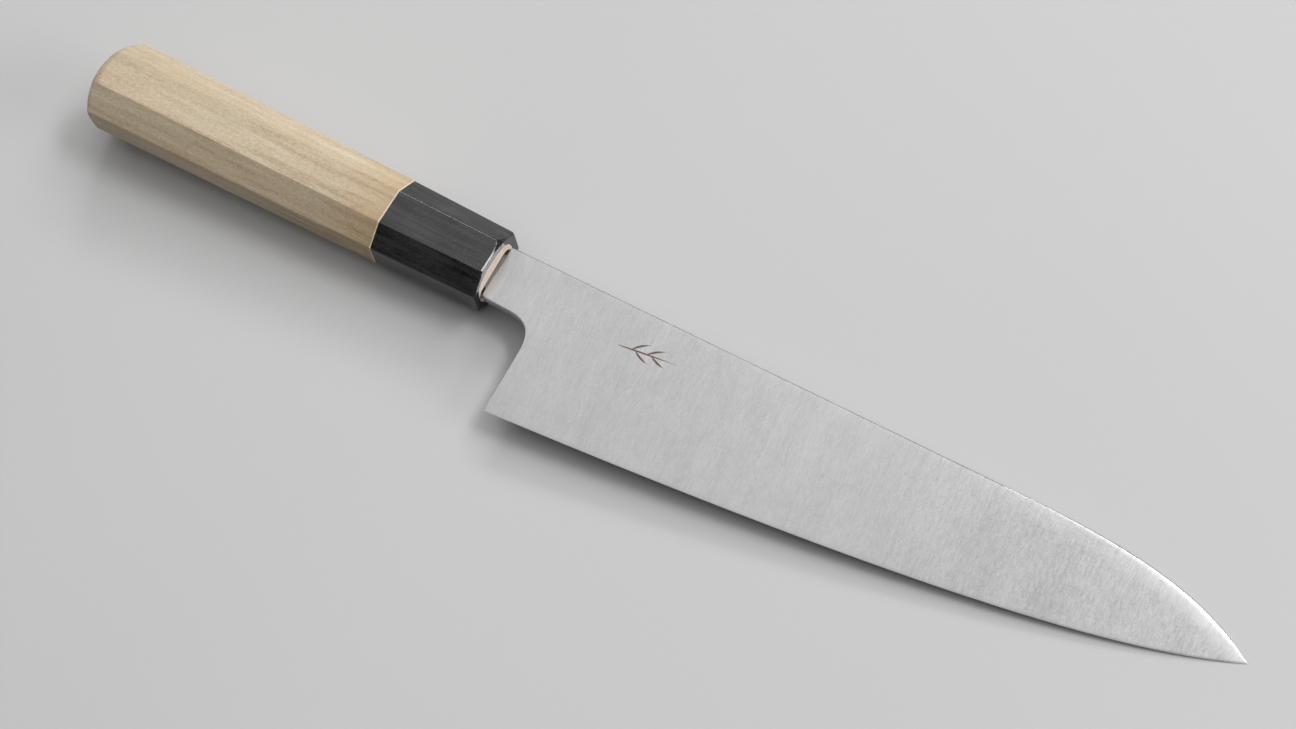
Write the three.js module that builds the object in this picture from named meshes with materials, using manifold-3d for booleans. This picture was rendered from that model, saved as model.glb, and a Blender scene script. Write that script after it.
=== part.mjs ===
// Chef knife: a Japanese gyuto with an octagonal wooden handle, a horn ferrule and a hidden tang.
//
// Each piece is built in the knife's own frame, in millimetres: the origin is the centre of the
// ferrule's front face, +X points to the tip, +Y to the spine and +Z out of the blade's right face.
// The whole knife is then laid down on its left side, as it rests on a table.
import * as THREE from "three";
import { mergeVertices } from "three/addons/utils/BufferGeometryUtils.js";
import Module from "manifold-3d";

// Blade outline
const HEEL = new THREE.Vector2(18.4, -37.0);
const TIP = new THREE.Vector2(228.4, -4.85);
const TIP_BLUNTING = 0.3; // height of the blade at its very tip
const NECK_START_X = 0.2;
const NECK_TOP_Y = 8.05;
const NECK_BOTTOM_Y = -8.75;
const CHOIL_START = new THREE.Vector2(9.5, -8.95);
const CHOIL_END = new THREE.Vector2(17.85, -17.0);
const SPINE_DROP = new THREE.Vector2(156.5, 9.28); // where the spine starts to fall to the tip
const EDGE_HANDLES = [new THREE.Vector2(165.5, -25.9), new THREE.Vector2(206.2, -14.1)];
const SPINE_HANDLES = [new THREE.Vector2(185.1, 9.5), new THREE.Vector2(210.2, 8.0)];
const CHOIL_HANDLES = [new THREE.Vector2(15.6, -9.15), new THREE.Vector2(17.5, -12.0)];

// Blade thickness
const NECK_THICKNESS = 3.0;
const SPINE_THICKNESS_HEEL = 2.8;
const SPINE_THICKNESS_TIP = 0.9;
const EDGE_THICKNESS = 0.16;
const SPINE_CHAMFER = 0.25;
const GRIND_POWER = 1.7; // 1 is a flat wedge, more is fuller behind the edge
const GRIND_MIN_HEIGHT = 15; // near the tip the wedge keeps its angle, so the spine thins out
const NECK_FLAT_END_X = 30; // the neck's flat sides fade into the ground faces up to here
const NECK_FLAT_Y = [-22, -6];

// Tang
const TANG_LENGTH = 92;
const TANG_ROOT = { top: 5.6, bottom: -6.2, thickness: 2.8 };
const TANG_TAIL = { top: 2.3, bottom: -2.7, thickness: 1.8 };
const TANG_CHAMFER = 0.4;
const TANG_ROOT_OVERLAP = 6; // the tang's root runs this far into the neck

// Handle: flattened octagons that grow towards the butt
const FERRULE_LENGTH = 33.3;
const HANDLE_LENGTH = 133.4; // ferrule included
const OCTAGON_FRONT = { height: 22.1, thickness: 19.15, cutY: 6.05, cutZ: 5.1 };
const OCTAGON_JOINT = { height: 23.6, thickness: 19.25, cutY: 6.45, cutZ: 5.1 };
const OCTAGON_BUTT = { height: 26.05, thickness: 20.8, cutY: 7.2, cutZ: 5.5 };
const FRONT_CHAMFER_LENGTH = 0.6;
const FRONT_CHAMFER_DEPTH = 0.45;
const BUTT_DOME_RADIUS = 18.6;
const BUTT_DOME_CENTRE_Y = -0.8;

// Wooden core through the ferrule, and the slots for the tang, each the hull of two round holes
const CORE_LENGTH = 56;
const CORE_HALF_HEIGHT = 8.65;
const CORE_HALF_THICKNESS = 7.0;
const CORE_CENTRE_Y = -0.35;
const CORE_SQUARENESS = 2.5; // exponent of the oval: 2 is an ellipse
const CORE_SLOT = { topY: 4.4, topRadius: 2.9, bottomY: -6.75, bottomRadius: 1.95 };
const BODY_SLOT = { topY: 2.6, topRadius: 2.0, bottomY: -3.4, bottomRadius: 1.6 };
const BODY_SLOT_END_X = -97;
const ADHESIVE_RECESS = 1.6; // the resin stops this far behind the ferrule's front face

const GLUE_GAP = 0.1; // between neighbouring pieces
const CUT_MARGIN = 1; // how far a cutting tool runs past the face it opens

// How finely curves are cut into straight pieces
const CHOIL_STEPS = 8;
const NECK_STEPS = 4;
const EDGE_STEPS = 34;
const SPINE_SAMPLES = 200;
const GRIND_ROWS = [1, 0.75, 0.5, 0.3, 0.15, 0.06, 0]; // share of the blade's height above the edge
const OVAL_SEGMENTS = 48;
const HOLE_SEGMENTS = 12;
const DOME_RINGS = 10;
const DOME_SEGMENTS = 64;

const wasm = await Module();
wasm.setup();

const { clamp, lerp, smoothstep } = THREE.MathUtils;

// ---------------------------------------------------------------- solids

// A closed geometry as a solid that can be joined and cut.
function toSolid(geometry) {
  const bare = geometry.clone();
  bare.deleteAttribute("normal");
  bare.deleteAttribute("uv");
  const merged = mergeVertices(bare, 1e-4);
  const mesh = new wasm.Mesh({
    numProp: 3,
    vertProperties: new Float32Array(merged.attributes.position.array),
    triVerts: new Uint32Array(merged.index.array),
  });
  return new wasm.Manifold(mesh);
}

function toGeometry(solid) {
  const mesh = solid.getMesh();
  const shared = new THREE.BufferGeometry();
  shared.setAttribute("position", new THREE.BufferAttribute(mesh.vertProperties, 3));
  shared.setIndex(new THREE.BufferAttribute(mesh.triVerts, 1));
  const flat = shared.toNonIndexed();
  flat.computeVertexNormals();
  return flat;
}

// A closed solid through rings of equal length. Each ring is an array of points at one X, in
// counter-clockwise order seen from +X, and the rings come in order of falling X.
function loft(rings) {
  const count = rings[0].length;
  const index = [];
  for (let i = 0; i + 1 < rings.length; i++) {
    for (let j = 0; j < count; j++) {
      const a = i * count + j;
      const b = i * count + ((j + 1) % count);
      index.push(a, a + count, b, b, a + count, b + count);
    }
  }
  const capTriangles = (ring) => {
    const outline = ring.map((p) => new THREE.Vector2(p.y, p.z));
    return THREE.ShapeUtils.triangulateShape(outline, []);
  };
  for (const [a, b, c] of capTriangles(rings[0])) index.push(a, b, c);
  const last = (rings.length - 1) * count;
  for (const [a, b, c] of capTriangles(rings.at(-1))) index.push(last + a, last + c, last + b);
  const geometry = new THREE.BufferGeometry().setFromPoints(rings.flat());
  geometry.setIndex(index);
  return toSolid(geometry);
}

// A prism along X between two stations, of a shape drawn with its first axis along Y and its
// second along Z.
function prism(shape, lowX, highX) {
  const options = { depth: highX - lowX, bevelEnabled: false, curveSegments: HOLE_SEGMENTS };
  const geometry = new THREE.ExtrudeGeometry(shape, options);
  const axes = [new THREE.Vector3(0, 1, 0), new THREE.Vector3(0, 0, 1), new THREE.Vector3(1, 0, 0)];
  geometry.applyMatrix4(new THREE.Matrix4().makeBasis(...axes).setPosition(lowX, 0, 0));
  return toSolid(geometry);
}

// ---------------------------------------------------------------- blade

const edgeCurve = new THREE.CubicBezierCurve(HEEL, ...EDGE_HANDLES, TIP);
const choilCurve = new THREE.CubicBezierCurve(CHOIL_START, ...CHOIL_HANDLES, CHOIL_END);
const spineTip = new THREE.Vector2(TIP.x, TIP.y + TIP_BLUNTING);
const spinePoints = [
  new THREE.Vector2(NECK_START_X, NECK_TOP_Y),
  ...new THREE.CubicBezierCurve(SPINE_DROP, ...SPINE_HANDLES, spineTip).getPoints(SPINE_SAMPLES),
];
const edgePoints = edgeCurve.getPoints(SPINE_SAMPLES);

// The Y of a polyline that runs in order of rising X; past its ends, the Y of the nearer end.
function heightAt(points, x) {
  const after = points.findIndex((p) => p.x > x);
  if (after === 0) return points[0].y;
  if (after < 0) return points.at(-1).y;
  const [a, b] = [points[after - 1], points[after]];
  return lerp(a.y, b.y, (x - a.x) / (b.x - a.x));
}

// Half the blade's thickness at a point of its side: a convex wedge, thinner towards the edge and
// towards the tip, that turns into the neck's flat sides.
function halfThickness(x, y) {
  const along = clamp((x - HEEL.x) / (TIP.x - HEEL.x), 0, 1);
  const spine = lerp(SPINE_THICKNESS_HEEL, SPINE_THICKNESS_TIP, along) / 2;
  const edgeY = heightAt(edgePoints, x);
  const height = Math.max(heightAt(spinePoints, x) - edgeY, GRIND_MIN_HEIGHT);
  const share = clamp((y - edgeY) / height, 0, 1);
  const ground = lerp(EDGE_THICKNESS / 2, spine, 1 - (1 - share) ** GRIND_POWER);
  const neck = (1 - smoothstep(x, NECK_START_X, NECK_FLAT_END_X)) * smoothstep(y, ...NECK_FLAT_Y);
  return lerp(ground, NECK_THICKNESS / 2, neck);
}

// The blade's section at one station: down its right side from the spine and up its left side.
function bladeRing(x, bottomY) {
  const topY = heightAt(spinePoints, x);
  const chamfer = Math.min(SPINE_CHAMFER, halfThickness(x, topY) / 2, (topY - bottomY) / 4);
  const side = GRIND_ROWS.map((share) => {
    const y = lerp(bottomY, topY - chamfer, share);
    return [y, halfThickness(x, y)];
  });
  const right = [[topY, halfThickness(x, topY) - chamfer], ...side];
  const left = right.map(([y, z]) => [y, -z]).reverse();
  return [...right, ...left].map(([y, z]) => new THREE.Vector3(x, y, z));
}

function bladeBody() {
  const neck = new THREE.LineCurve(new THREE.Vector2(NECK_START_X, NECK_BOTTOM_Y), CHOIL_START);
  const underside = [
    ...neck.getPoints(NECK_STEPS).slice(0, -1),
    ...choilCurve.getPoints(CHOIL_STEPS),
    ...edgeCurve.getPoints(EDGE_STEPS),
  ];
  return loft(underside.reverse().map((p) => bladeRing(p.x, p.y)));
}

// The tang's section between its root and its tail, grown all round by a clearance.
function tangRing(x, share, clearance) {
  const topY = lerp(TANG_ROOT.top, TANG_TAIL.top, share) + clearance;
  const bottomY = lerp(TANG_ROOT.bottom, TANG_TAIL.bottom, share) - clearance;
  const half = lerp(TANG_ROOT.thickness, TANG_TAIL.thickness, share) / 2 + clearance;
  const right = [
    [topY, half - TANG_CHAMFER],
    [topY - TANG_CHAMFER, half],
    [bottomY + TANG_CHAMFER, half],
    [bottomY, half - TANG_CHAMFER],
  ];
  const left = right.map(([y, z]) => [y, -z]).reverse();
  return [...right, ...left].map(([y, z]) => new THREE.Vector3(x, y, z));
}

function tang(clearance) {
  const rootX = NECK_START_X + TANG_ROOT_OVERLAP;
  const tailX = -TANG_LENGTH - clearance;
  return loft([
    tangRing(rootX, 0, clearance),
    tangRing(0, 0, clearance),
    tangRing(tailX, 1, clearance),
  ]);
}

function blade() {
  return bladeBody().add(tang(0));
}

// ---------------------------------------------------------------- handle

function lerpOctagon(a, b, share) {
  return {
    height: lerp(a.height, b.height, share),
    thickness: lerp(a.thickness, b.thickness, share),
    cutY: lerp(a.cutY, b.cutY, share),
    cutZ: lerp(a.cutZ, b.cutZ, share),
  };
}

// An octagon's ring at one station, drawn in by an inset.
function octagonRing(x, { height, thickness, cutY, cutZ }, inset = 0) {
  const outerY = height / 2 - inset;
  const outerZ = thickness / 2 - inset;
  const innerY = outerY - cutY * (outerY / (height / 2));
  const innerZ = outerZ - cutZ * (outerZ / (thickness / 2));
  const corners = [
    [outerY, innerZ],
    [innerY, outerZ],
    [-innerY, outerZ],
    [-outerY, innerZ],
    [-outerY, -innerZ],
    [-innerY, -outerZ],
    [innerY, -outerZ],
    [outerY, -innerZ],
  ];
  return corners.map(([y, z]) => new THREE.Vector3(x, y, z));
}

// The core's rounded oval, grown by a clearance.
function coreShape(clearance) {
  const points = [];
  for (let i = 0; i < OVAL_SEGMENTS; i++) {
    const angle = (2 * Math.PI * i) / OVAL_SEGMENTS;
    const bend = (value) => Math.sign(value) * Math.abs(value) ** (2 / CORE_SQUARENESS);
    const y = CORE_CENTRE_Y + (CORE_HALF_HEIGHT + clearance) * bend(Math.cos(angle));
    const z = (CORE_HALF_THICKNESS + clearance) * bend(Math.sin(angle));
    points.push(new THREE.Vector2(y, z));
  }
  return new THREE.Shape(points);
}

// The outline of a slot that runs from one round hole to another, drawn in by a clearance. Its
// straight sides touch both circles.
function slotShape({ topY, topRadius, bottomY, bottomRadius }, clearance) {
  const tilt = Math.asin((topRadius - bottomRadius) / (topY - bottomY));
  const halfTurn = Math.PI / 2 + tilt;
  const shape = new THREE.Shape();
  shape.absarc(topY, 0, topRadius - clearance, -halfTurn, halfTurn, false);
  shape.absarc(bottomY, 0, bottomRadius - clearance, halfTurn, 2 * Math.PI - halfTurn, false);
  shape.closePath();
  return shape;
}

function ferrule() {
  const chamferShare = FRONT_CHAMFER_LENGTH / FERRULE_LENGTH;
  const body = loft([
    octagonRing(0, OCTAGON_FRONT, FRONT_CHAMFER_DEPTH),
    octagonRing(-FRONT_CHAMFER_LENGTH, lerpOctagon(OCTAGON_FRONT, OCTAGON_JOINT, chamferShare)),
    octagonRing(-FERRULE_LENGTH, OCTAGON_JOINT),
  ]);
  return body.subtract(prism(coreShape(GLUE_GAP), -FERRULE_LENGTH - CUT_MARGIN, CUT_MARGIN));
}

function ferruleCore() {
  const slot = prism(slotShape(CORE_SLOT, 0), -CORE_LENGTH - CUT_MARGIN, CUT_MARGIN);
  return prism(coreShape(0), -CORE_LENGTH, 0).subtract(slot);
}

// A round bar along X with a domed end, wide enough to cut only the handle's butt.
function buttDome() {
  const centreX = -HANDLE_LENGTH + BUTT_DOME_RADIUS;
  const profile = [];
  for (let i = 0; i <= DOME_RINGS; i++) {
    const angle = (Math.PI / 2) * (i / DOME_RINGS);
    const radius = i === 0 ? 0 : BUTT_DOME_RADIUS * Math.sin(angle);
    profile.push(new THREE.Vector2(radius, centreX - BUTT_DOME_RADIUS * Math.cos(angle)));
  }
  profile.push(new THREE.Vector2(BUTT_DOME_RADIUS, 0), new THREE.Vector2(0, 0));
  const geometry = new THREE.LatheGeometry(profile, DOME_SEGMENTS);
  geometry.rotateZ(-Math.PI / 2);
  geometry.translate(0, BUTT_DOME_CENTRE_Y, 0);
  return toSolid(geometry);
}

function handleBody() {
  const frontX = -FERRULE_LENGTH - GLUE_GAP;
  const mortiseEndX = -CORE_LENGTH - GLUE_GAP;
  const block = loft([
    octagonRing(frontX, OCTAGON_JOINT),
    octagonRing(-HANDLE_LENGTH, OCTAGON_BUTT),
  ]);
  const mortise = prism(coreShape(GLUE_GAP), mortiseEndX, frontX + CUT_MARGIN);
  const slot = prism(slotShape(BODY_SLOT, 0), BODY_SLOT_END_X, mortiseEndX + CUT_MARGIN);
  return block.intersect(buttDome()).subtract(mortise).subtract(slot);
}

function tangAdhesive() {
  const endX = BODY_SLOT_END_X + GLUE_GAP;
  const inCore = prism(slotShape(CORE_SLOT, GLUE_GAP), -CORE_LENGTH, -ADHESIVE_RECESS);
  const inBody = prism(slotShape(BODY_SLOT, GLUE_GAP), endX, -CORE_LENGTH + CUT_MARGIN);
  return inCore.add(inBody).subtract(tang(GLUE_GAP));
}

// ---------------------------------------------------------------- assembly

function piece(name, solid, color, roughness, metalness) {
  const material = new THREE.MeshStandardMaterial({ color, roughness, metalness });
  const mesh = new THREE.Mesh(toGeometry(solid), material);
  mesh.name = name;
  return mesh;
}

const knife = new THREE.Group();
knife.add(
  piece("blade", blade(), 0xc4c4c2, 0.35, 1),
  piece("ferrule", ferrule(), 0x1c1c1d, 0.4, 0),
  piece("ferrule_core", ferruleCore(), 0xc8a88c, 0.8, 0),
  piece("handle_body", handleBody(), 0xc9b58f, 0.7, 0),
  piece("tang_adhesive", tangAdhesive(), 0x3a2a1e, 0.6, 0),
);

// At rest on its left side the knife touches the table along the ferrule's front edge and at the
// tip, which dips by this angle about Y.
const ferruleToTip = TIP.x + FRONT_CHAMFER_LENGTH;
const drop = OCTAGON_FRONT.thickness / 2 - halfThickness(TIP.x, TIP.y);
knife.rotation.y = Math.atan2(drop, ferruleToTip);

const model = new THREE.Group();
model.add(knife);
model.updateMatrixWorld(true);
const bounds = new THREE.Box3().setFromObject(knife, true);
const centre = bounds.getCenter(new THREE.Vector3());
knife.position.set(-centre.x, -centre.y, -bounds.min.z);

export default model;
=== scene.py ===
"""Looks of the chef knife: its refined pieces, their materials, the studio and the camera.

Every piece is built in the knife's own frame: the origin is the centre of the ferrule's front face,
+X points to the tip, +Y to the spine and +Z out of the blade's right face. One matrix then lays
each mesh down where the CAD model lies, and the materials undo it to follow the knife.
"""

import math

import bpy
import numpy as np
from mathutils import Matrix, Vector


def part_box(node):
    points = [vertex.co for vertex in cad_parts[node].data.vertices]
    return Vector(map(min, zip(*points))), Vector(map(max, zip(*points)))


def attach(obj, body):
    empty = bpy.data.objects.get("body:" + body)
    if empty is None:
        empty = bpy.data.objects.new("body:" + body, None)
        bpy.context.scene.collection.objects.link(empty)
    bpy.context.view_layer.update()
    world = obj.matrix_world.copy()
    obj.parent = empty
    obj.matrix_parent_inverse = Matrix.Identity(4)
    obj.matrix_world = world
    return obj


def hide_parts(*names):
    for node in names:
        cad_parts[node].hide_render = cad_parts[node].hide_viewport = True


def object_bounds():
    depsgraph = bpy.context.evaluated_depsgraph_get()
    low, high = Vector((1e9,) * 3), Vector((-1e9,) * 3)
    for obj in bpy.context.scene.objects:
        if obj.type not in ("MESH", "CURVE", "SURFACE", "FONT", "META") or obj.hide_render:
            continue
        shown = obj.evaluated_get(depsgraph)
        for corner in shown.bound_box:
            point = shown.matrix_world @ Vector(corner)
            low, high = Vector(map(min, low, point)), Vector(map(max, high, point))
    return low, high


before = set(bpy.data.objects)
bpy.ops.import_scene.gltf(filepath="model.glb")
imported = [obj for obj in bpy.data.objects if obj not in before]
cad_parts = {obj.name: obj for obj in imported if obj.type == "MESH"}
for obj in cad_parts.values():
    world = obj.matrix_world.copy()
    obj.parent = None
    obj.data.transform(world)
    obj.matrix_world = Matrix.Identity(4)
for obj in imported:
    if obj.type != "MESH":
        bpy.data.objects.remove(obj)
cad_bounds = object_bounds()

MM = 0.001

# ------------------------------------------------------------------ dimensions, in millimetres

HEEL = (18.4, -37.0)
TIP = (228.4, -4.85)
TIP_BLUNTING = 0.3
NECK_START_X = 0.2
NECK_TOP_Y = 8.05
NECK_BOTTOM_Y = -8.75
# The neck's two corners at the ferrule are rounded off. Each starts on the end face, at a height
# from the straight run, meets that run after the length, and is pulled square by two handles.
NECK_CORNER_LENGTH = 1.2
NECK_CORNER_AT_SPINE = {"height": 0.9, "first_handle": (0.1, 0.2), "second_handle": 0.4}
NECK_CORNER_BELOW = {"height": 1.9, "first_handle": (0.2, 0.6), "second_handle": 0.6}
CHOIL_START = (9.5, -8.95)
CHOIL_END = (17.85, -17.0)
SPINE_DROP = (156.5, 9.28)
EDGE_HANDLES = ((165.5, -25.9), (206.2, -14.1))
SPINE_HANDLES = ((185.1, 9.5), (210.2, 8.0))
CHOIL_HANDLES = ((15.6, -9.15), (17.5, -12.0))

NECK_THICKNESS = 3.0
SPINE_THICKNESS_HEEL = 2.8
SPINE_THICKNESS_TIP = 0.9
EDGE_THICKNESS = 0.16
GRIND_POWER = 1.7
GRIND_MIN_HEIGHT = 15
NECK_FLAT_END_X = 30
NECK_FLAT_Y = (-22, -6)
SPINE_ROUNDING = 0.38
SPINE_CROWN_TIP = 1.15  # how wide the rounding grows along the spine, towards the tip
SPINE_CROWN_X = (150, 200)
NECK_ROUNDING = 0.35
HEEL_ROUNDING = 0.04
BEVEL_SLOPE = math.tan(math.radians(13))  # each side of the sharpened bevel
BEVEL_TIP_HALF = 0.012

TANG_LENGTH = 92
TANG_ROOT = {"top": 5.6, "bottom": -6.2, "thickness": 2.8}
TANG_TAIL = {"top": 2.3, "bottom": -2.7, "thickness": 1.8}
TANG_CHAMFER = 0.4

FERRULE_LENGTH = 33.3
HANDLE_LENGTH = 133.4
OCTAGON_FRONT = (22.1, 19.15, 6.05, 5.1)  # height, thickness, and the corner cuts along Y and Z
OCTAGON_JOINT = (23.6, 19.25, 6.45, 5.1)
OCTAGON_BUTT = (26.05, 20.8, 7.2, 5.5)
FRONT_CHAMFER_LENGTH = 0.6
DOME_APEX_X = -133.25
DOME_RADIUS = 19.6
DOME_CENTRE_Y = -1.3

CORE_LENGTH = 56
CORE_HALF_HEIGHT = 8.65
CORE_HALF_THICKNESS = 7.0
CORE_CENTRE_Y = -0.35
CORE_SQUARENESS = 2.5
CORE_SLOT = {"top": 4.4, "top_radius": 2.9, "bottom": -6.75, "bottom_radius": 1.95}
BODY_SLOT = {"top": 2.6, "top_radius": 2.0, "bottom": -3.4, "bottom_radius": 1.6}
BODY_SLOT_END_X = -97
GLUE_GAP = 0.1


def lerp(a, b, share):
    return a + (b - a) * share


def smoothstep(x, low, high):
    share = np.clip((x - low) / (high - low), 0, 1)
    return share * share * (3 - 2 * share)


# ------------------------------------------------------------------ meshes


def knife_to_row():
    """The matrix that lays the knife's own frame down in the CAD model's frame."""
    drop = OCTAGON_FRONT[1] / 2 - EDGE_THICKNESS / 2
    pitch = math.atan2(drop, TIP[0] + FRONT_CHAMFER_LENGTH)
    turn = Matrix.Rotation(pitch, 4, "Y")
    front_edge = turn @ (Vector((-FRONT_CHAMFER_LENGTH, 0, -OCTAGON_FRONT[1] / 2)) * MM)
    tip = turn @ (Vector((TIP[0], 0, 0)) * MM)
    place = Vector(
        (
            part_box("blade")[1].x - tip.x,
            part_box("blade")[0].y - HEEL[1] * MM,
            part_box("ferrule")[0].z - front_edge.z,
        )
    )
    return Matrix.Translation(place) @ turn


KNIFE_TO_ROW = knife_to_row()
UV_NAME = "along_and_up"  # U runs along the knife and V from edge to spine
SPINE_UV_NAME = "below_spine"  # on the blade, U is the same and V is how far below the spine line


def add_uv(mesh, name, uv):
    corners = np.empty(len(mesh.loops), dtype=np.int32)
    mesh.loops.foreach_get("vertex_index", corners)
    mesh.uv_layers.new(name=name).data.foreach_set("uv", uv[corners].ravel())


def add_piece(name, points, faces, material, node, slot_name, sharp_angle=30.0):
    """A closed mesh in the knife's frame, in millimetres, as a piece that rides with the knife."""
    points = np.asarray(points, float) * MM
    mesh = bpy.data.meshes.new(name)
    mesh.from_pydata(points.tolist(), [], faces)
    mesh.materials.append(material)
    add_uv(mesh, UV_NAME, points[:, :2])
    mesh.polygons.foreach_set("use_smooth", [True] * len(mesh.polygons))
    mesh.set_sharp_from_angle(angle=math.radians(sharp_angle))
    mesh.transform(KNIFE_TO_ROW)
    piece = bpy.data.objects.new(name, mesh)
    bpy.context.scene.collection.objects.link(piece)
    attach(piece, "root")
    if node:
        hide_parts(node)
    return piece


def ring_faces(ring_count, size, closed):
    """Quads between neighbouring rings, which run counter-clockwise seen from +X."""
    faces = []
    for i in range(ring_count if closed else ring_count - 1):
        here = i * size
        there = ((i + 1) % ring_count) * size
        for j in range(size):
            k = (j + 1) % size
            faces.append((here + j, there + j, there + k, here + k))
    return faces


def loft(rings, closed=False):
    """Points and faces through rings of equal size. Open ends close with a fan to their centre."""
    size = len(rings[0])
    points = np.concatenate(rings)
    faces = ring_faces(len(rings), size, closed)
    if closed:
        return points, faces
    first, last = len(points), len(points) + 1
    points = np.vstack([points, rings[0].mean(0), rings[-1].mean(0)])
    tail = (len(rings) - 1) * size
    for j in range(size):
        k = (j + 1) % size
        faces.append((first, j, k))
        faces.append((last, tail + k, tail + j))
    return points, faces


def ring_at(x, section):
    """A ring from (y, z) pairs at one X, or at one X for each point."""
    return np.column_stack([np.broadcast_to(x, len(section)), section])


# ------------------------------------------------------------------ blade


def bezier(p0, p1, p2, p3, count):
    t = np.linspace(0, 1, count)[:, None]
    p0, p1, p2, p3 = (np.array(p, float) for p in (p0, p1, p2, p3))
    return (1 - t) ** 3 * p0 + 3 * (1 - t) ** 2 * t * p1 + 3 * (1 - t) * t**2 * p2 + t**3 * p3


def neck_corner(y, inward, shape, count):
    """The rounded corner between the neck's end face and its straight run at height y."""
    out, rise = shape["first_handle"]
    return bezier(
        (NECK_START_X, y + inward * shape["height"]),
        (NECK_START_X + out, y + inward * rise),
        (NECK_START_X + shape["second_handle"], y),
        (NECK_START_X + NECK_CORNER_LENGTH, y),
        count,
    )


CURVE_SAMPLES = 600
SPINE_CORNER_SAMPLES = 12
SPINE_END = (TIP[0], TIP[1] + TIP_BLUNTING)
EDGE_LINE = bezier(HEEL, *EDGE_HANDLES, TIP, CURVE_SAMPLES)
SPINE_LINE = np.vstack(
    [
        neck_corner(NECK_TOP_Y, -1, NECK_CORNER_AT_SPINE, SPINE_CORNER_SAMPLES),
        bezier(SPINE_DROP, *SPINE_HANDLES, SPINE_END, CURVE_SAMPLES),
    ]
)


def edge_y(x):
    return np.interp(x, EDGE_LINE[:, 0], EDGE_LINE[:, 1])


def spine_y(x):
    return np.interp(x, SPINE_LINE[:, 0], SPINE_LINE[:, 1])


def half_thickness(x, y):
    """A convex wedge, thinner towards edge and tip, that turns into the neck's flat sides."""
    along = np.clip((x - HEEL[0]) / (TIP[0] - HEEL[0]), 0, 1)
    spine = lerp(SPINE_THICKNESS_HEEL, SPINE_THICKNESS_TIP, along) / 2
    height = np.maximum(spine_y(x) - edge_y(x), GRIND_MIN_HEIGHT)
    share = np.clip((y - edge_y(x)) / height, 0, 1)
    ground = lerp(EDGE_THICKNESS / 2, spine, 1 - (1 - share) ** GRIND_POWER)
    neck = (1 - smoothstep(x, NECK_START_X, NECK_FLAT_END_X)) * smoothstep(y, *NECK_FLAT_Y)
    return lerp(ground, NECK_THICKNESS / 2, neck)


def inward_normals(line, side):
    """Unit normals of a polyline, mitred at its corners. Side is +1 for left of travel."""
    steps = np.diff(line, axis=0)
    steps /= np.linalg.norm(steps, axis=1)[:, None]
    before = np.vstack([steps[:1], steps])
    after = np.vstack([steps, steps[-1:]])
    tangent = before + after
    tangent /= np.linalg.norm(tangent, axis=1)[:, None]
    normal = np.column_stack([-tangent[:, 1], tangent[:, 0]]) * side
    mitre = 1 / np.clip(np.sum(before * tangent, axis=1), 0.6, 1)
    return normal * mitre[:, None]


RIM_OFFSETS = np.array([0, 0.02, 0.06, 0.14, 0.26, 0.5])  # rows next to the outline
RIM_SHARE = 0.3  # they never take more of the blade's height than this
INNER_ROWS = 34
HEEL_FAN = 12.0  # how far ahead of the heel the heel's station meets the spine
EDGE_CROWDING = 0.92  # below 1, the edge's stations are a little closer together at the tip


def blade_stations():
    """Matching points along the blade's underside and spine, and how round the underside is."""
    corner_count, neck_count, choil_count, riser_count, edge_count = 8, 10, 26, 18, 236
    corner = neck_corner(NECK_BOTTOM_Y, 1, NECK_CORNER_BELOW, corner_count)
    neck = np.linspace(corner[-1], CHOIL_START, neck_count)[1:-1]
    neck = np.vstack([corner, neck])
    choil = bezier(CHOIL_START, *CHOIL_HANDLES, CHOIL_END, choil_count)[:-1]
    riser = np.linspace(CHOIL_END, HEEL, riser_count)[:-1]
    spread = np.linspace(0, 1, edge_count) ** EDGE_CROWDING
    edge_x = lerp(HEEL[0], TIP[0], spread)
    edge = np.column_stack([edge_x, edge_y(edge_x)])
    edge[-1] = TIP
    bottom = np.vstack([neck, choil, riser, edge])

    riser_top = lerp(CHOIL_END[0], HEEL[0] + HEEL_FAN, np.linspace(0, 1, riser_count)[:-1])
    edge_top = edge_x + HEEL_FAN * (1 - np.linspace(0, 1, edge_count)) ** 2
    top_x = np.concatenate([neck[:, 0], choil[:, 0], riser_top, edge_top])
    top_x = np.minimum(top_x, TIP[0])
    top = np.column_stack([top_x, spine_y(top_x)])
    top[-1] = SPINE_END

    straight = len(neck) + len(choil)
    rounding = np.concatenate(
        [
            np.full(straight, NECK_ROUNDING),
            np.linspace(NECK_ROUNDING, HEEL_ROUNDING, len(riser)),
            np.zeros(len(edge)),
        ]
    )
    return bottom, top, rounding, straight + len(riser)


def rounded(half, distance, radius, stretch=1.0):
    """A half thickness, drawn in by a quarter ellipse near the outline. Stretch is how many times
    wider than deep the ellipse is."""
    depth = np.minimum(radius, 0.85 * half)
    inside = 1 - np.clip(distance / np.maximum(depth * stretch, 1e-6), 0, 1)
    return half - depth * (1 - np.sqrt(1 - inside**2))


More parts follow.
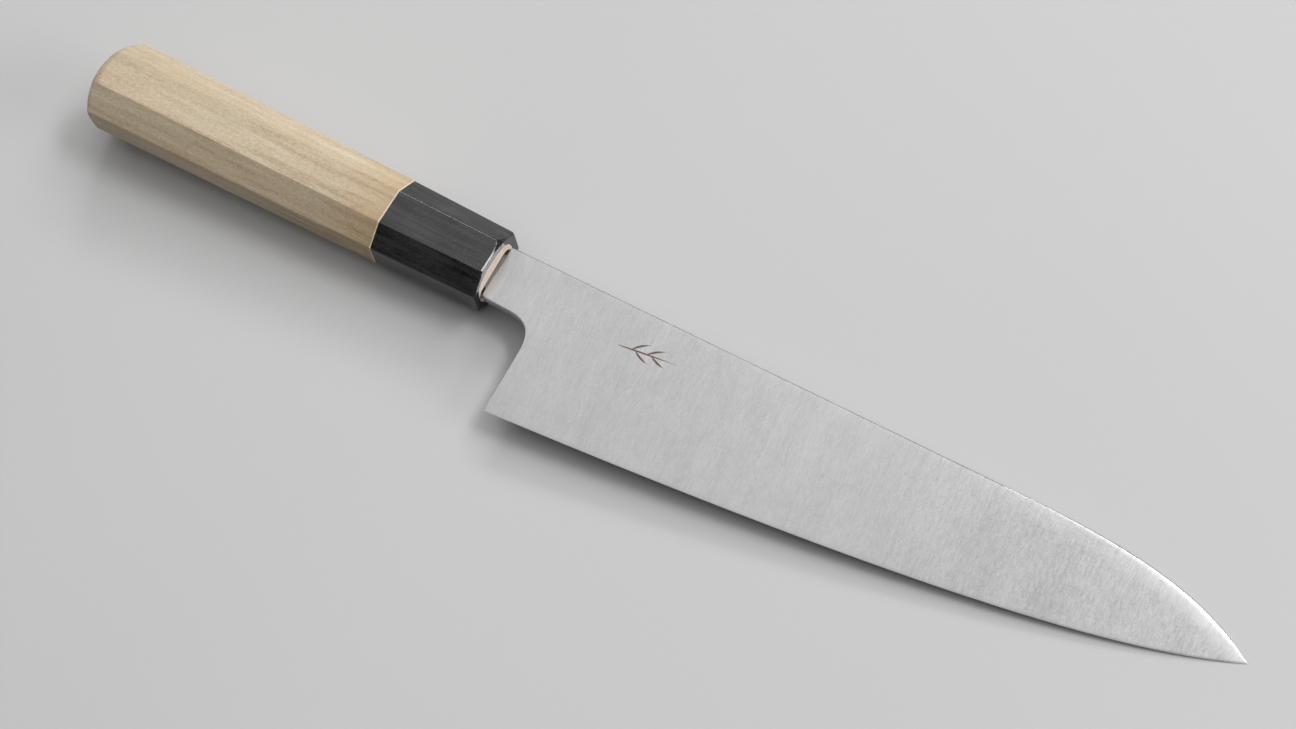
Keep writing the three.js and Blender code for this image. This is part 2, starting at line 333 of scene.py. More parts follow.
def blade_side():
    """The blade's right side as rows of (x, y, z), from the underside up to the spine."""
    bottom, top, rounding, edge_start = blade_stations()
    height = np.linalg.norm(top - bottom, axis=1)
    widest = RIM_SHARE * height / RIM_OFFSETS[-1]
    reach = np.minimum(1, widest)
    from_bottom = inward_normals(bottom, 1)
    from_top = inward_normals(top, -1)
    on_edge = np.arange(len(bottom)) >= edge_start
    rows = []
    for offset in RIM_OFFSETS:
        distance = offset * reach
        p = bottom + from_bottom * distance[:, None]
        half = rounded(half_thickness(*p.T), distance, rounding)
        bevel = BEVEL_TIP_HALF + distance * BEVEL_SLOPE
        half = np.where(on_edge, np.minimum(half, bevel), half)
        rows.append(np.column_stack([p, half]))
    upper = []
    stretch = lerp(1, SPINE_CROWN_TIP / SPINE_ROUNDING, smoothstep(top[:, 0], *SPINE_CROWN_X))
    reach = np.minimum(stretch, widest)
    for offset in RIM_OFFSETS:
        distance = offset * reach
        p = top + from_top * distance[:, None]
        half = rounded(half_thickness(*p.T), distance, SPINE_ROUNDING, stretch)
        upper.append(np.column_stack([p, half]))
    low, high = rows[-1][:, :2], upper[-1][:, :2]
    for share in np.linspace(0, 1, INNER_ROWS + 2)[1:-1]:
        p = lerp(low, high, share)
        half = half_thickness(*p.T)
        rows.append(np.column_stack([p, half]))
    return np.array(rows + upper[::-1])


def tang_column(x, share, count):
    """Heights and half thicknesses of the tang's right side, for a column of that many points."""
    top = lerp(TANG_ROOT["top"], TANG_TAIL["top"], share)
    bottom = lerp(TANG_ROOT["bottom"], TANG_TAIL["bottom"], share)
    half = lerp(TANG_ROOT["thickness"], TANG_TAIL["thickness"], share) / 2
    rim = RIM_OFFSETS / RIM_OFFSETS[-1] * TANG_CHAMFER
    middle = np.linspace(bottom + TANG_CHAMFER, top - TANG_CHAMFER, count - 2 * len(rim) + 2)
    y = np.concatenate([bottom + rim, middle[1:-1], top - rim[::-1]])
    from_end = np.minimum(y - bottom, top - y)
    z = half - np.maximum(TANG_CHAMFER - from_end, 0)
    return np.column_stack([np.full(count, x), y, z])


TANG_STATIONS = (-TANG_LENGTH, -TANG_LENGTH / 2, 0, NECK_START_X)


def blade_mesh():
    side = blade_side()
    tang = [tang_column(x, max(x / -TANG_LENGTH, 0), len(side)) for x in TANG_STATIONS]
    tang = np.array(tang).transpose(1, 0, 2)
    right = np.concatenate([tang, side], axis=1)
    rows, columns = right.shape[:2]
    left = right * (1, 1, -1)
    points = np.concatenate([right.reshape(-1, 3), left.reshape(-1, 3)])
    half = rows * columns

    def right_at(i, j):
        return i * columns + j

    def left_at(i, j):
        return half + i * columns + j

    faces = []
    top, last = rows - 1, columns - 1
    for j in range(last):
        for i in range(top):
            square = ((i, j), (i, j + 1), (i + 1, j + 1), (i + 1, j))
            faces.append(tuple(right_at(*corner) for corner in square))
            faces.append(tuple(left_at(*square[k]) for k in (0, 3, 2, 1)))
        faces.append((left_at(0, j), left_at(0, j + 1), right_at(0, j + 1), right_at(0, j)))
        faces.append((right_at(top, j), right_at(top, j + 1), left_at(top, j + 1), left_at(top, j)))
    for i in range(top):
        up = i + 1
        faces.append((right_at(i, last), left_at(i, last), left_at(up, last), right_at(up, last)))
        faces.append((left_at(i, 0), right_at(i, 0), right_at(up, 0), left_at(up, 0)))
    return points, faces


# ------------------------------------------------------------------ handle sections

FLAT_STEPS = 14
CORNER_STEPS = 5
ARRIS_RADIUS = 0.5


def octagon_corners(height, thickness, cut_y, cut_z):
    y, z = height / 2, thickness / 2
    quarter = [(y, z - cut_z), (y - cut_y, z)]
    upper = quarter + [(-b, c) for b, c in reversed(quarter)]
    return np.array(upper + [(-b, -c) for b, c in upper])


def rounded_octagon(sizes, radius=ARRIS_RADIUS):
    """A ring of (y, z) with eased corners, the outward normals, and where each point is: 0 at the
    first corner, 0.5 in the middle of the flat after it, 1 at the next corner, and so on."""
    corners = octagon_corners(*sizes)
    section, normals, where = [], [], []
    for k in range(8):
        here, ahead, behind = corners[k], corners[(k + 1) % 8], corners[k - 1]
        into = (here - behind) / np.linalg.norm(here - behind)
        out = (ahead - here) / np.linalg.norm(ahead - here)
        turn = math.acos(np.clip(into @ out, -1, 1))
        setback = radius * math.tan(turn / 2)
        start_normal = np.array([into[1], -into[0]])
        centre = here - into * setback - start_normal * radius
        for step in range(CORNER_STEPS + 1):
            angle = turn * step / CORNER_STEPS
            c, s = math.cos(angle), math.sin(angle)
            normal = np.array([[c, -s], [s, c]]) @ start_normal
            section.append(centre + normal * radius)
            normals.append(normal)
            where.append(k)
        flat_start = section[-1]
        flat_end = ahead - out * setback
        for step in range(1, FLAT_STEPS):
            share = step / FLAT_STEPS
            section.append(lerp(flat_start, flat_end, share))
            normals.append(np.array([out[1], -out[0]]))
            where.append(k + share)
    return np.array(section), np.array(normals), np.array(where)


def octagon_sizes(x):
    if x > -FERRULE_LENGTH:
        share = x / -FERRULE_LENGTH
        return tuple(lerp(np.array(OCTAGON_FRONT), np.array(OCTAGON_JOINT), share))
    share = (x + FERRULE_LENGTH) / (FERRULE_LENGTH - HANDLE_LENGTH)
    return tuple(lerp(np.array(OCTAGON_JOINT), np.array(OCTAGON_BUTT), share))


def around(where, corners, flats):
    """A value for each point of an octagon ring from its values at the corners and mid-flats."""
    k = np.floor(where).astype(int)
    share = where - k
    a, b = np.array(corners)[k], np.array(corners)[(k + 1) % 8]
    middle = np.array(flats)[k]
    return lerp(a, b, share) + (middle - (a + b) / 2) * 4 * share * (1 - share)


def near_corners(where, corners, flats):
    """As around, but a corner's value fades out within the first third of the flats beside it."""
    k = np.floor(where).astype(int)
    share = where - k
    corner = np.where(share < 0.5, np.array(corners)[k], np.array(corners)[(k + 1) % 8])
    middle = np.array(flats)[k]
    return middle + (corner - middle) * np.abs(1 - 2 * share) ** 3


def ray_angles(section):
    return np.arctan2(section[:, 1], section[:, 0] - CORE_CENTRE_Y)


def oval_section(angles, clearance=0.0):
    a, b = CORE_HALF_HEIGHT + clearance, CORE_HALF_THICKNESS + clearance
    n = CORE_SQUARENESS
    reach = (np.abs(np.cos(angles) / a) ** n + np.abs(np.sin(angles) / b) ** n) ** (-1 / n)
    return np.column_stack([CORE_CENTRE_Y + reach * np.cos(angles), reach * np.sin(angles)])


SLOT_SEARCH_REACH = 12.0  # further from the core's centre than any slot's outline
SLOT_SEARCH_STEPS = 40


def slot_section(angles, slot, clearance=0.0):
    """Where rays from the core's centre meet a slot's outline: the hull of its two round holes."""
    low, high = np.zeros(len(angles)), np.full(len(angles), SLOT_SEARCH_REACH)
    span = slot["top"] - slot["bottom"]
    slope = (slot["bottom_radius"] - slot["top_radius"]) / span
    lean = math.sqrt(1 - slope**2)
    for _ in range(SLOT_SEARCH_STEPS):
        reach = (low + high) / 2
        y = CORE_CENTRE_Y + reach * np.cos(angles) - slot["bottom"]
        z = np.abs(reach * np.sin(angles))
        along = y * lean - z * slope
        flat = z * lean + y * slope - slot["bottom_radius"]
        to_bottom = np.hypot(y, z) - slot["bottom_radius"]
        to_top = np.hypot(y - span, z) - slot["top_radius"]
        distance = np.where(along < 0, to_bottom, np.where(along > span * lean, to_top, flat))
        outside = distance + clearance > 0
        high = np.where(outside, reach, high)
        low = np.where(outside, low, reach)
    return np.column_stack([CORE_CENTRE_Y + low * np.cos(angles), low * np.sin(angles)])


def tang_section(angles, share, clearance):
    """Where rays from the core's centre meet the tang's outline."""
    top = lerp(TANG_ROOT["top"], TANG_TAIL["top"], share) + clearance - CORE_CENTRE_Y
    bottom = lerp(TANG_ROOT["bottom"], TANG_TAIL["bottom"], share) - clearance - CORE_CENTRE_Y
    half = lerp(TANG_ROOT["thickness"], TANG_TAIL["thickness"], share) / 2 + clearance
    c, s = np.cos(angles), np.sin(angles)
    small = 1e-9
    to_side = half / np.maximum(np.abs(s), small)
    to_end = np.where(c > 0, top, -bottom) / np.maximum(np.abs(c), small)
    reach = np.minimum(to_side, to_end)
    return np.column_stack([CORE_CENTRE_Y + reach * c, reach * s])


# ------------------------------------------------------------------ handle pieces

# The length of the ferrule's hand-cut front chamfer, at the octagon's corners and mid-flats
CHAMFER_AT_CORNERS = [0.8, 1.45, 0.6, 0.5, 0.3, 0.4, 0.5, 0.6]
CHAMFER_AT_FLATS = [0.6, 0.56, 1.0, 0.3, 0.3, 0.4, 0.5, 0.6]
# The part of that length next to the front face, which falls away at a steeper angle
KNEE_AT_CORNERS = [0.3, 0.95, 0.06, 0.25, 0.1, 0.2, 0.2, 0.3]
KNEE_AT_FLATS = [0.25, 0.04, 0.5, 0.12, 0.1, 0.2, 0.2, 0.25]
CHAMFER_SLOPES = (math.tan(math.radians(44)), math.tan(math.radians(25)))
CHAMFER_CREASE = 0.06  # a ring this far behind the chamfer keeps its back edge crisp
# Rings of the chamfer, as shares of its steep and its shallow part
CHAMFER_RINGS = ((0, 0), (0.1, 0), (0.85, 0), (1, 0.08), (1, 0.9), (1, 1))
FERRULE_RINGS_X = (-1.6, -4, -12, -22, -FERRULE_LENGTH)


def ferrule_mesh():
    section, normals, where = rounded_octagon(octagon_sizes(0))
    angles = ray_angles(section)
    length = near_corners(where, CHAMFER_AT_CORNERS, CHAMFER_AT_FLATS)
    knee = near_corners(where, KNEE_AT_CORNERS, KNEE_AT_FLATS)
    hole = oval_section(angles, GLUE_GAP / 3)
    rings = [ring_at(0, hole)]
    for steep, shallow in CHAMFER_RINGS:
        inset = CHAMFER_SLOPES[0] * knee * (1 - steep)
        inset += CHAMFER_SLOPES[1] * (length - knee) * (1 - shallow)
        back = knee * steep + (length - knee) * shallow
        rings.append(ring_at(-back, section - normals * inset[:, None]))
    rings.append(ring_at(-length - CHAMFER_CREASE, section))
    for x in FERRULE_RINGS_X:
        rings.append(ring_at(x, rounded_octagon(octagon_sizes(x))[0]))
    rings.append(ring_at(-FERRULE_LENGTH, hole))
    return loft(rings, closed=True)


CORE_EDGE = 0.12  # how far the core's front edges are eased
ROUND_ANGLES = np.linspace(0, 2 * math.pi, 160, endpoint=False)


def core_mesh():
    angles = ROUND_ANGLES
    rings = [
        ring_at(-CORE_EDGE, slot_section(angles, CORE_SLOT)),
        ring_at(0, slot_section(angles, CORE_SLOT, -CORE_EDGE)),
        ring_at(0, oval_section(angles, -CORE_EDGE / 2)),
        ring_at(-CORE_EDGE / 2, oval_section(angles)),
        ring_at(-CORE_LENGTH, oval_section(angles)),
        ring_at(-CORE_LENGTH, slot_section(angles, CORE_SLOT)),
    ]
    return loft(rings, closed=True)


FRONT_EDGE = 0.32  # how far the handle's front edge is eased
RIM_GUESS = 4.0  # the rim is somewhere near this far ahead of the butt's end
RIM_SOLVE_STEPS = 20
WALL_STATIONS = [*np.linspace(0, 0.99, 30), 0.998, 1]  # shares of the wall, crowded at the rim
RIM_STEPS = 6
DOME_STEPS = 22
# How far the butt's rim is softened, at the octagon's corners and in the middle of its flats
RIM_AT_CORNERS = [0.8, 1.1, 2.0, 0.3, 0.6, 1.0, 1.0, 1.0]
RIM_AT_FLATS = [0.8, 1.6, 1.1, 0.4, 0.8, 1.2, 1.2, 1.0]
RIM_CREASE = 0.5  # 0 for a rim that blends in, 1 for a flat cut with hard edges


def dome_x(section):
    from_centre = (section[:, 0] - DOME_CENTRE_Y) ** 2 + section[:, 1] ** 2
    return DOME_APEX_X + DOME_RADIUS - np.sqrt(np.maximum(DOME_RADIUS**2 - from_centre, 0))


def handle_mesh():
    front_x = -FERRULE_LENGTH - GLUE_GAP / 2
    front, normals, where = rounded_octagon(octagon_sizes(front_x))
    butt = rounded_octagon(octagon_sizes(-HANDLE_LENGTH))[0]
    angles = ray_angles(front)

    def wall(x):
        share = np.asarray((x - front_x) / (-HANDLE_LENGTH - front_x))
        return lerp(front, butt, share[..., None])

    rim_x = np.full(len(front), -HANDLE_LENGTH + RIM_GUESS)
    for _ in range(RIM_SOLVE_STEPS):
        rim_x = dome_x(wall(rim_x))
    softness = around(where, RIM_AT_CORNERS, RIM_AT_FLATS)

    slot_end = slot_section(angles, BODY_SLOT)
    mortise_x = -CORE_LENGTH - GLUE_GAP
    mortise = oval_section(angles, GLUE_GAP)
    rings = [
        ring_at(BODY_SLOT_END_X, slot_end),
        ring_at(mortise_x, slot_end),
        ring_at(mortise_x, mortise),
        ring_at(front_x, mortise),
        ring_at(front_x, front - normals * FRONT_EDGE),
    ]
    wall_start = front_x - FRONT_EDGE
    wall_end = rim_x + softness
    for share in WALL_STATIONS:
        x = lerp(wall_start, wall_end, share)
        rings.append(ring_at(x, wall(x)))

    centre = np.array([DOME_CENTRE_Y, 0.0])
    rim = wall(rim_x)
    rim_reach = np.linalg.norm(rim - centre, axis=1)
    inner_share = 1 - softness / rim_reach
    inner = centre + (rim - centre) * inner_share[:, None]
    start = ring_at(wall_end, wall(wall_end))
    end = ring_at(dome_x(inner), inner)
    corner = lerp(ring_at(rim_x, rim), (start + end) / 2, RIM_CREASE)
    for step in range(1, RIM_STEPS + 1):
        t = step / RIM_STEPS
        rings.append((1 - t) ** 2 * start + 2 * t * (1 - t) * corner + t * t * end)
    for step in range(1, DOME_STEPS):
        section = centre + (inner - centre) * (1 - step / DOME_STEPS)
        rings.append(ring_at(dome_x(section), section))
    return loft(rings)


RESIN_RECESS = 0.15
RESIN_END_DIP = 9.0
RESIN_DIP_POWERS = (75, 45)  # how local the sinking is, at the spine end and the other


def resin_mesh():
    """The set resin around the tang, dished in its slot and sunk further at the slot's ends."""
    angles = ROUND_ANGLES
    power = np.where(np.cos(angles) > 0, *RESIN_DIP_POWERS)
    recess = RESIN_RECESS + RESIN_END_DIP * np.abs(np.cos(angles)) ** power
    tail_x = -TANG_LENGTH - GLUE_GAP
    rings = [
        ring_at(tail_x, tang_section(angles, 1, GLUE_GAP)),
        ring_at(-recess, tang_section(angles, 0.01, GLUE_GAP)),
        ring_at(-recess, slot_section(angles, CORE_SLOT, GLUE_GAP)),
        ring_at(-CORE_LENGTH, slot_section(angles, CORE_SLOT, GLUE_GAP)),
        ring_at(-CORE_LENGTH, slot_section(angles, BODY_SLOT, GLUE_GAP)),
        ring_at(BODY_SLOT_END_X + GLUE_GAP, slot_section(angles, BODY_SLOT, GLUE_GAP)),
    ]
    return loft(rings)


# ------------------------------------------------------------------ engraved motif

# A plain sprig: a stem and its leaves as curves (start, bend, end, greatest width)
MOTIF_STROKES = [
    ((41.0, -3.6), (48.0, -2.6), (58.6, -1.4), 0.46),
    ((45.2, -3.1), (46.6, -0.9), (49.4, 0.4), 0.6),
    ((49.6, -2.5), (51.4, -0.5), (54.0, 0.6), 0.6),
    ((46.4, -3.0), (48.6, -4.5), (51.2, -4.9), 0.6),
    ((51.0, -2.3), (53.2, -3.6), (55.8, -3.9), 0.6),
]
STROKE_STEPS = 14
STROKE_DEPTH = 0.12
STROKE_PROUD = 0.012
STROKE_END_WIDTH = 0.12  # share of the greatest width that is left at a stroke's ends
STROKE_HASTE = 1.15  # above 1, a stroke narrows sooner at its far end
STROKE_FULLNESS = 0.6  # the lower, the longer a stroke stays wide


def motif_mesh():
    points, faces = [], []
    for start, bend, end, width in MOTIF_STROKES:
        start, bend, end = (np.array(p, float) for p in (start, bend, end))
        rings = []
        for step in range(STROKE_STEPS + 1):
            t = step / STROKE_STEPS
            middle = (1 - t) ** 2 * start + 2 * t * (1 - t) * bend + t * t * end
            travel = (1 - t) * (bend - start) + t * (end - bend)
            across = np.array([-travel[1], travel[0]]) / np.linalg.norm(travel)
            swell = math.sin(math.pi * min(t * STROKE_HASTE, 1)) ** STROKE_FULLNESS
            half = width / 2 * lerp(STROKE_END_WIDTH, 1, swell)
            corners = [middle + across * half, middle - across * half]
            top = [(*p, half_thickness(*p) + STROKE_PROUD) for p in corners]
            base = [(*p, half_thickness(*p) - STROKE_DEPTH) for p in reversed(corners)]
            rings.append(top + base)
        first = len(points)
        points += [p for ring in rings for p in ring]
        for i in range(STROKE_STEPS):
            for j in range(4):
                a, b = first + i * 4 + j, first + i * 4 + (j + 1) % 4
                faces.append((a, b, b + 4, a + 4))
        end_ring = first + STROKE_STEPS * 4
        faces.append(tuple(first + j for j in (3, 2, 1, 0)))
        faces.append(tuple(end_ring + j for j in range(4)))
    return points, faces


# ------------------------------------------------------------------ materials


class Shader:
    """A material's node tree, with short calls to grow it."""

    def __init__(self, name):
        self.material = bpy.data.materials.new(name)
        self.material.use_nodes = True
        self.tree = self.material.node_tree
        self.tree.nodes.clear()
        self.output = self.node("ShaderNodeOutputMaterial")
        self.surface = self.node("ShaderNodeBsdfPrincipled")
        self.link(self.surface.outputs[0], self.output.inputs["Surface"])

    def node(self, kind, **settings):
        made = self.tree.nodes.new(kind)
        for key, value in settings.items():
            setattr(made, key, value)
        return made

    def link(self, source, target):
        self.tree.links.new(source, target)

    def set(self, **values):
        for key, value in values.items():
            self.surface.inputs[key.replace("_", " ")].default_value = value

    def drive(self, source, socket):
        self.link(source, self.surface.inputs[socket])

    def place(self, sizes, lean=0.0):
        """The knife's own coordinates, turned by lean in the blade's plane and measured in features
        of these sizes in millimetres."""
        where = self.node("ShaderNodeTexCoord")
        mapping = self.node("ShaderNodeMapping", vector_type="TEXTURE")
        turn = KNIFE_TO_ROW @ Matrix.Rotation(lean, 4, "Z")
        mapping.inputs["Location"].default_value = KNIFE_TO_ROW.translation
        mapping.inputs["Rotation"].default_value = turn.to_euler()
        mapping.inputs["Scale"].default_value = [size * MM for size in sizes]
        self.link(where.outputs["Object"], mapping.inputs["Vector"])
        return mapping.outputs[0]

    def where(self):
        """How far along the knife and how far up towards the spine, both in millimetres."""
        split = self.node("ShaderNodeSeparateXYZ")
        self.link(self.place((1, 1, 1)), split.inputs[0])
        return split.outputs[0], split.outputs[1]

    def noise(self, vector, detail=4.0, roughness=0.55, distortion=0.0):
        made = self.node("ShaderNodeTexNoise")
        made.inputs["Scale"].default_value = 1.0
        made.inputs["Detail"].default_value = detail
        made.inputs["Roughness"].default_value = roughness
        made.inputs["Distortion"].default_value = distortion
        self.link(vector, made.inputs["Vector"])
        return made.outputs["Fac"]

    def ramp(self, value, stops):
        """Colours, or greys given as one number, at places along a value."""
        made = self.node("ShaderNodeValToRGB")
        marks = made.color_ramp.elements
        while len(marks) < len(stops):
            marks.new(0.5)
        for mark, (place, colour) in zip(marks, stops):
            mark.position = place
            rgb = (colour,) * 3 if isinstance(colour, (int, float)) else colour
            mark.color = (*rgb, 1)
        self.link(value, made.inputs[0])
        return made.outputs[0]

    def span(self, value, low, high, from_low=0.0, from_high=1.0):
        made = self.node("ShaderNodeMapRange")
        for key, number in (
            ("From Min", from_low),
            ("From Max", from_high),
            ("To Min", low),
            ("To Max", high),
        ):
            made.inputs[key].default_value = number
        self.link(value, made.inputs["Value"])
        return made.outputs[0]

    def math(self, operation, a, b):
        made = self.node("ShaderNodeMath", operation=operation)
        for socket, value in zip(made.inputs, (a, b)):
            if isinstance(value, (int, float)):
                socket.default_value = value
            else:
                self.link(value, socket)
        return made.outputs[0]

    def blend_values(self, *parts):
        """The sum of some values, each times its share."""
        total = None
        for value, share in parts:
            scaled = self.math("MULTIPLY", value, share)
            total = scaled if total is None else self.math("ADD", total, scaled)
        return total

    def mix(self, share, a, b, blend="MIX"):
        made = self.node("ShaderNodeMix", data_type="RGBA", blend_type=blend)
        sockets = (made.inputs[0], made.inputs[6], made.inputs[7])
        for socket, value in zip(sockets, (share, a, b)):
            if isinstance(value, (int, float)):
                socket.default_value = value
            elif isinstance(value, tuple):
                socket.default_value = (*value, 1)
            else:
                self.link(value, socket)
        return made.outputs[2]

    def bump(self, height, distance_mm, strength=1.0):
        made = self.node("ShaderNodeBump")
        made.inputs["Strength"].default_value = strength
        made.inputs["Distance"].default_value = distance_mm * MM
        self.link(height, made.inputs["Height"])
        self.drive(made.outputs[0], "Normal")


BRUSH_LEAN = math.radians(6)
# How far along the blade, in millimetres, its finish and its painted spine highlight change
LINES_STRENGTHEN_X = (120, 200)
# The spine's painted highlight: how much it lifts the steel's colour near the spine, and where
SPINE_HIGHLIGHT_STEPS = ((0.16, 135, 160), (0.2, 190, 208))  # how much brighter near the spine, and where
GLOSS_X = (110, 170)
# The same in height, measured down from the spine
SPINE_HIGHLIGHT_DEPTH = 6
GLOSS_DEPTHS = (0.1, 0.6)
GLOSS = 0.13  # how much smoother the eased spine gets towards the tip


def steel_material():
    """Satin steel with fine brush lines that run from the spine to the edge, painted shade that
    darkens it along the blade towards the tip, and a painted highlight near the spine towards the
    tip.
    """
    shader = Shader("satin_steel")
    scratch = shader.noise(shader.place((0.28, 2.6, 2.6), BRUSH_LEAN), 3.0, 0.65)
    grain = shader.noise(shader.place((0.5, 0.5, 0.5)), 3.0, 0.65)
    line = shader.noise(shader.place((0.9, 24, 24), BRUSH_LEAN), 3.0, 0.55)
    swathe = shader.noise(shader.place((9, 60, 60), BRUSH_LEAN), 2.0, 0.5)
    cloud = shader.noise(shader.place((16, 9, 9)), 3.0, 0.55)
    brushed = shader.blend_values((scratch, 0.40), (grain, 0.34), (line, 0.16), (swathe, 0.10))
    along = shader.where()[0]
    contrast = shader.span(along, 1.05, 2.0, *LINES_STRENGTHEN_X)
    swing = shader.math("MULTIPLY", shader.math("SUBTRACT", brushed, 0.5), contrast)
    lines = shader.math("ADD", swing, 0.5)
    tone = shader.ramp(lines, [(0.34, (0.445, 0.445, 0.447)), (0.66, (0.579, 0.579, 0.579))])
    soft = shader.ramp(cloud, [(0.3, 0.95), (0.7, 1.0)])
    length = shader.span(along, 0, 1, 0, TIP[0])
    # Painted shade: the steel's colour darkens along the blade, most towards the tip
    painted_shade_along = [(0.0, 0.92), (0.04, 0.87), (0.44, 0.845), (0.62, 0.775), (0.70, 0.735), (0.80, 0.70)]
    tinted = shader.mix(1.0, tone, soft, "MULTIPLY")
    satin = shader.mix(1.0, tinted, shader.ramp(length, painted_shade_along), "MULTIPLY")
    below = shader.node("ShaderNodeUVMap", uv_map=SPINE_UV_NAME)
    drop = shader.node("ShaderNodeSeparateXYZ")
    shader.link(below.outputs[0], drop.inputs[0])
    depth = drop.outputs[1]
    # Painted highlight: near the spine and towards the tip, the steel's colour is lifted to a pale
    # grey
    near_spine = shader.span(depth, 1, 0, 0, SPINE_HIGHLIGHT_DEPTH * MM)
    highlight_amount = shader.math("ADD", *(shader.span(along, 0, step, *x) for step, *x in SPINE_HIGHLIGHT_STEPS))
    painted_spine_highlight = shader.math("MULTIPLY", near_spine, highlight_amount)
    shader.drive(shader.mix(painted_spine_highlight, satin, (0.80, 0.80, 0.81)), "Base Color")
    at_spine = shader.span(depth, GLOSS, 0, *(limit * MM for limit in GLOSS_DEPTHS))
    gloss = shader.math("MULTIPLY", at_spine, shader.span(along, 0.3, 1, *GLOSS_X))
    rough = shader.span(lines, 0.31, 0.42, 0.35, 0.65)
    shader.drive(shader.math("SUBTRACT", rough, gloss), "Roughness")
    shader.set(Metallic=1.0, Anisotropic=0.45)
    tangent = shader.node("ShaderNodeTangent", direction_type="UV_MAP", uv_map=UV_NAME)
    shader.drive(tangent.outputs[0], "Tangent")
    shader.bump(scratch, 0.005, 0.5)
    return shader.material


def horn_material():
    """Polished black horn with faint lengthwise streaks and a few pale flecks."""
    shader = Shader("black_horn")
    streak = shader.noise(shader.place((26, 1.3, 1.3)), 4.0, 0.6, 0.4)
    mottle = shader.noise(shader.place((0.8, 0.4, 0.4)), 4.0, 0.65)
    cloud = shader.noise(shader.place((12, 4, 4)), 2.0, 0.5)
    fleck = shader.noise(shader.place((2.4, 0.9, 0.9)), 1.0, 0.4)
    depth = shader.blend_values((streak, 0.40), (mottle, 0.35), (cloud, 0.25))
    body = shader.ramp(depth, [(0.41, (0.003, 0.003, 0.0035)), (0.59, (0.036, 0.036, 0.0365))])
    specks = shader.ramp(fleck, [(0.78, 0.0), (0.84, 1.0)])
    shader.drive(shader.mix(specks, body, (0.16, 0.145, 0.13)), "Base Color")
    shader.drive(shader.span(mottle, 0.13, 0.17, 0.3, 0.7), "Roughness")
    shader.set(IOR=1.57)
    shader.bump(shader.math("ADD", streak, mottle), 0.001, 0.5)
    return shader.material


WOOD_FRONT_X = -FERRULE_LENGTH - GLUE_GAP / 2
WOOD_SHADE_X = -52  # the wood is a little darker and warmer from its front to here
# Along the eased front edge the colour turns pale: a painted highlight
WOOD_EDGE_X = WOOD_FRONT_X - FRONT_EDGE
WOOD_EDGE_BLUR = (-0.06, 0.04)


def wood_material():
    """Pale close-grained wood: broad bands, fine fibres and short dark pores along the handle, with
    a painted highlight along the eased front edge.
    """
    shader = Shader("pale_wood")
    band = shader.noise(shader.place((90, 5.0, 7)), 3.0, 0.55, 0.8)
    streak = shader.noise(shader.place((20, 1.5, 1.5)), 3.0, 0.6, 0.4)
    fibre = shader.noise(shader.place((1.5, 0.34, 0.34)), 4.0, 0.7)
    grit = shader.noise(shader.place((0.85, 0.42, 0.42)), 2.0, 0.6)
    pore = shader.noise(shader.place((3.4, 0.36, 0.36)), 2.0, 0.5)
    patch = shader.noise(shader.place((34, 11, 11)), 2.0, 0.5)
    grain = shader.blend_values((band, 0.38), (streak, 0.30), (fibre, 0.32))
    body = shader.ramp(
        grain,
        [
            (0.38, (0.385, 0.29, 0.192)),
            (0.46, (0.498, 0.395, 0.276)),
            (0.55, (0.565, 0.474, 0.35)),
            (0.63, (0.625, 0.536, 0.41)),
        ],
    )
    warmth = shader.ramp(patch, [(0.35, (1.0, 0.965, 0.935)), (0.65, (0.98, 1.0, 0.975))])
    gritty = shader.mix(1.0, body, shader.ramp(grit, [(0.34, 0.82), (0.62, 1.0)]), "MULTIPLY")
    tinted = shader.mix(1.0, gritty, warmth, "MULTIPLY")
    along = shader.where()[0]
    near_front = shader.span(along, 0, 1, WOOD_SHADE_X, WOOD_FRONT_X)
    darker = shader.mix(1.0, tinted, (0.88, 0.818, 0.72), "MULTIPLY")
    shaded = shader.mix(near_front, tinted, darker)
    marks = shader.ramp(pore, [(0.30, 1.0), (0.38, 0.0)])
    dashed = shader.mix(shader.math("MULTIPLY", marks, 0.4), shaded, (0.36, 0.26, 0.165))
    # Painted highlight: the eased front edge is coloured pale
    eased = shader.span(along, 0, 1, *(WOOD_EDGE_X + blur for blur in WOOD_EDGE_BLUR))
    shader.drive(shader.mix(eased, dashed, (0.84, 0.74, 0.585)), "Base Color")
    shader.drive(shader.span(fibre, 0.52, 0.68, 0.3, 0.7), "Roughness")
    shader.set(IOR=1.45)
    shader.bump(shader.math("SUBTRACT", fibre, shader.math("MULTIPLY", marks, 0.6)), 0.03, 0.5)
    return shader.material


def core_material():
    """Pinkish wood cut across the grain: open speckled pores."""
    shader = Shader("core_wood")
    speck = shader.noise(shader.place((2, 0.26, 0.26)), 3.0, 0.6)
    ring = shader.noise(shader.place((50, 2.4, 1.1)), 3.0, 0.5)
    tone = shader.blend_values((speck, 0.6), (ring, 0.4))
    body = shader.ramp(
        tone, [(0.3, (0.60, 0.45, 0.36)), (0.5, (0.86, 0.71, 0.61)), (0.7, (0.93, 0.81, 0.72))]
    )
    shader.drive(body, "Base Color")
    shader.drive(shader.span(speck, 0.6, 0.8), "Roughness")
    shader.bump(speck, 0.05, 0.6)
    return shader.material


def resin_material():
    """Dark brown resin or burnt-in fill, slightly uneven."""
    shader = Shader("dark_resin")
    tone = shader.noise(shader.place((1.1, 1.1, 1.1)), 4.0, 0.6)
    body = shader.ramp(tone, [(0.3, (0.075, 0.042, 0.026)), (0.7, (0.15, 0.09, 0.06))])
    shader.drive(body, "Base Color")
    shader.drive(shader.span(tone, 0.5, 0.75), "Roughness")
    shader.bump(tone, 0.04, 0.6)
    return shader.material


def floor_material():
    """Plain pale grey, hardly mottled."""
    shader = Shader("studio_floor")
    tone = shader.noise(shader.place((330, 330, 330)), 2.0, 0.5)
    shader.drive(shader.ramp(tone, [(0.3, 0.49), (0.7, 0.51)]), "Base Color")
    shader.set(Roughness=0.9)
    return shader.material


# ------------------------------------------------------------------ pieces

